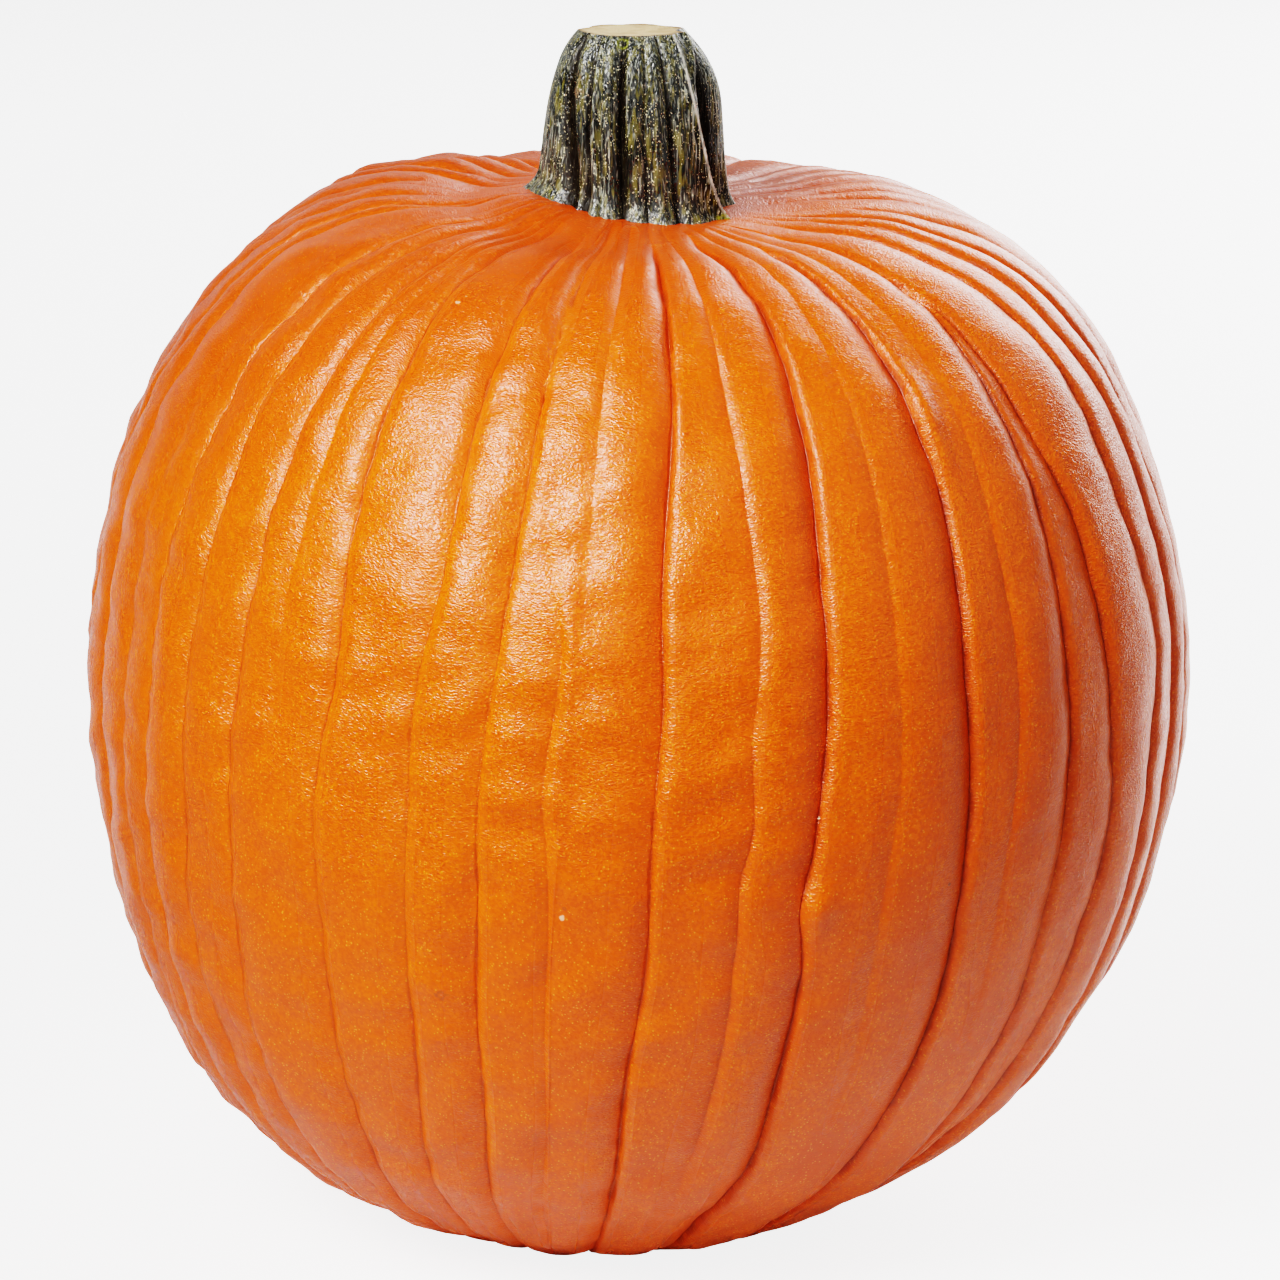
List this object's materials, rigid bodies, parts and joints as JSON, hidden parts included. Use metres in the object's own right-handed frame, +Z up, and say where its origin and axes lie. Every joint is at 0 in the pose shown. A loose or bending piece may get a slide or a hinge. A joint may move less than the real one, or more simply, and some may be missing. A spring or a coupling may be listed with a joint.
{
  "type": "pumpkin",
  "caption": "Ribbed orange carving pumpkin with a flattened resting base and a short fluted dry stem, cut square.",
  "frame": {"origin": "on the ground under the middle of the whole", "axes": "+Z up through the stem; the front faces -Y and +X is to the right of someone who looks at the front"},
  "size_m": [0.3026, 0.304, 0.3351],
  "materials": {
    "rind": "waxy semi-gloss orange rind, finely pebbled, darker and redder down the furrows",
    "dry_stem": "dry green-black fluted stem with pale flecks, tan cut face"
  },
  "bodies": {
    "root": {"fruit": "rind", "stem": "dry_stem"}
  },
  "joints": []
}
